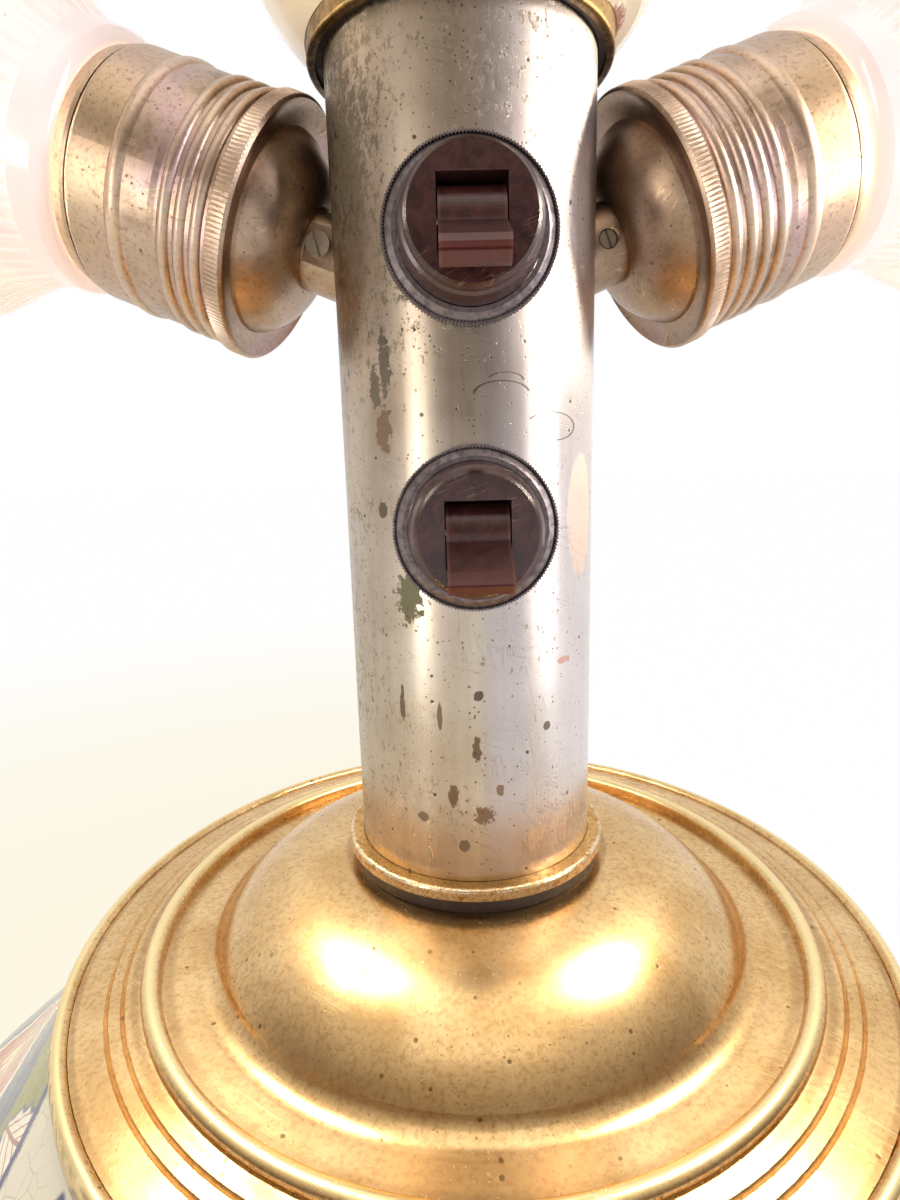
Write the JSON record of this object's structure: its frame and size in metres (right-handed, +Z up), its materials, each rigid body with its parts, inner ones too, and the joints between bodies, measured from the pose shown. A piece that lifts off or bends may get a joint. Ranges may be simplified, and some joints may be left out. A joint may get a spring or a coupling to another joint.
{
  "type": "tulip shade table lamp",
  "caption": "Table lamp with a painted vase body, brass cap, plated tube column with lever switches, and angled side holders carrying ribbed tulip shades",
  "frame": {"origin": "centre of the foot on the table", "axes": "+Z up along the column, -Y to the front where the switches face, +X to the right-hand shade"},
  "size_m": [0.3026, 0.28, 0.4719],
  "materials": {
    "felt": "pressed green felt",
    "majolica": "white glaze with a painted flower and leaf border",
    "dark_plastic": "moulded dark brown",
    "zinc_steel": "zinc plated, dull",
    "rod_steel": "threaded pipe, dull",
    "spun_brass": "spun and lacquered, mottled by age",
    "gasket": "matt dark brown",
    "ferrule_brass": "polished, edges worn pale",
    "olive_brass": "dull, dark patina",
    "satin_nickel": "satin nickel plate with fine pits",
    "cream_glaze": "cream glaze, chipped to the terracotta",
    "bakelite": "moulded dark maroon",
    "lever_bakelite": "moulded red-brown, worn edges",
    "dark_nut": "knurled, oxidised",
    "pin_steel": "bright pin",
    "contact_brass": "clean spring brass",
    "holder_brass": "stamped, dull pink-brown patina with fine pits",
    "screw_steel": "slotted head, dull",
    "porcelain": "white porcelain",
    "opal_glass": "milk-white pressed glass with ribs",
    "lamp_glass": "frosted",
    "lamp_cap": "plain"
  },
  "bodies": {
    "lamp": {"felt_pad": "felt", "vase_body": "majolica", "cord_bush": "dark_plastic", "foot_washer": "zinc_steel", "foot_nut": "zinc_steel", "centre_rod": "rod_steel", "vase_cap": "spun_brass", "column_gasket": "gasket", "column_lower_ring": "ferrule_brass", "column_tube": "satin_nickel", "column_lower_collar": "ferrule_brass", "column_upper_collar": "ferrule_brass", "column_upper_ring": "olive_brass", "column_upper_gasket": "gasket", "top_ball": "cream_glaze", "finial_washer": "ferrule_brass", "finial": "ferrule_brass", "upper_switch_housing": "bakelite", "upper_switch_nut": "dark_nut", "upper_switch_pin": "pin_steel", "upper_switch_blade": "contact_brass", "upper_switch_terminals": "screw_steel", "lower_switch_housing": "bakelite", "lower_switch_nut": "dark_nut", "lower_switch_pin": "pin_steel", "lower_switch_blade": "contact_brass", "lower_switch_terminals": "screw_steel", "left_nipple": "rod_steel", "left_nipple_nut": "zinc_steel", "left_nozzle": "holder_brass", "left_set_screw": "screw_steel", "left_holder_cap": "holder_brass", "left_holder_shell": "holder_brass", "left_porcelain": "porcelain", "left_terminals": "screw_steel", "left_thread_sleeve": "contact_brass", "left_centre_contact": "contact_brass", "left_shade_ring": "spun_brass", "left_tulip_shade": "opal_glass", "left_bulb_glass": "lamp_glass", "left_bulb_cap": "lamp_cap", "right_nipple": "rod_steel", "right_nipple_nut": "zinc_steel", "right_nozzle": "holder_brass", "right_set_screw": "screw_steel", "right_holder_cap": "holder_brass", "right_holder_shell": "holder_brass", "right_porcelain": "porcelain", "right_terminals": "screw_steel", "right_thread_sleeve": "contact_brass", "right_centre_contact": "contact_brass", "right_shade_ring": "spun_brass", "right_tulip_shade": "opal_glass", "right_bulb_glass": "lamp_glass", "right_bulb_cap": "lamp_cap"},
    "upper_lever": {"upper_switch_lever": "lever_bakelite"},
    "lower_lever": {"lower_switch_lever": "lever_bakelite"}
  },
  "joints": [
    {"name": "upper_lever_tilt", "type": "hinge", "parent": "lamp", "child": "upper_lever", "pos_m": [0, -0.0275, 0.3727], "axis": [-1, 0, 0], "range_deg": [0, 64]},
    {"name": "lower_lever_tilt", "type": "hinge", "parent": "lamp", "child": "lower_lever", "pos_m": [0, -0.0275, 0.3302], "axis": [-1, 0, 0], "range_deg": [0, 64]}
  ]
}
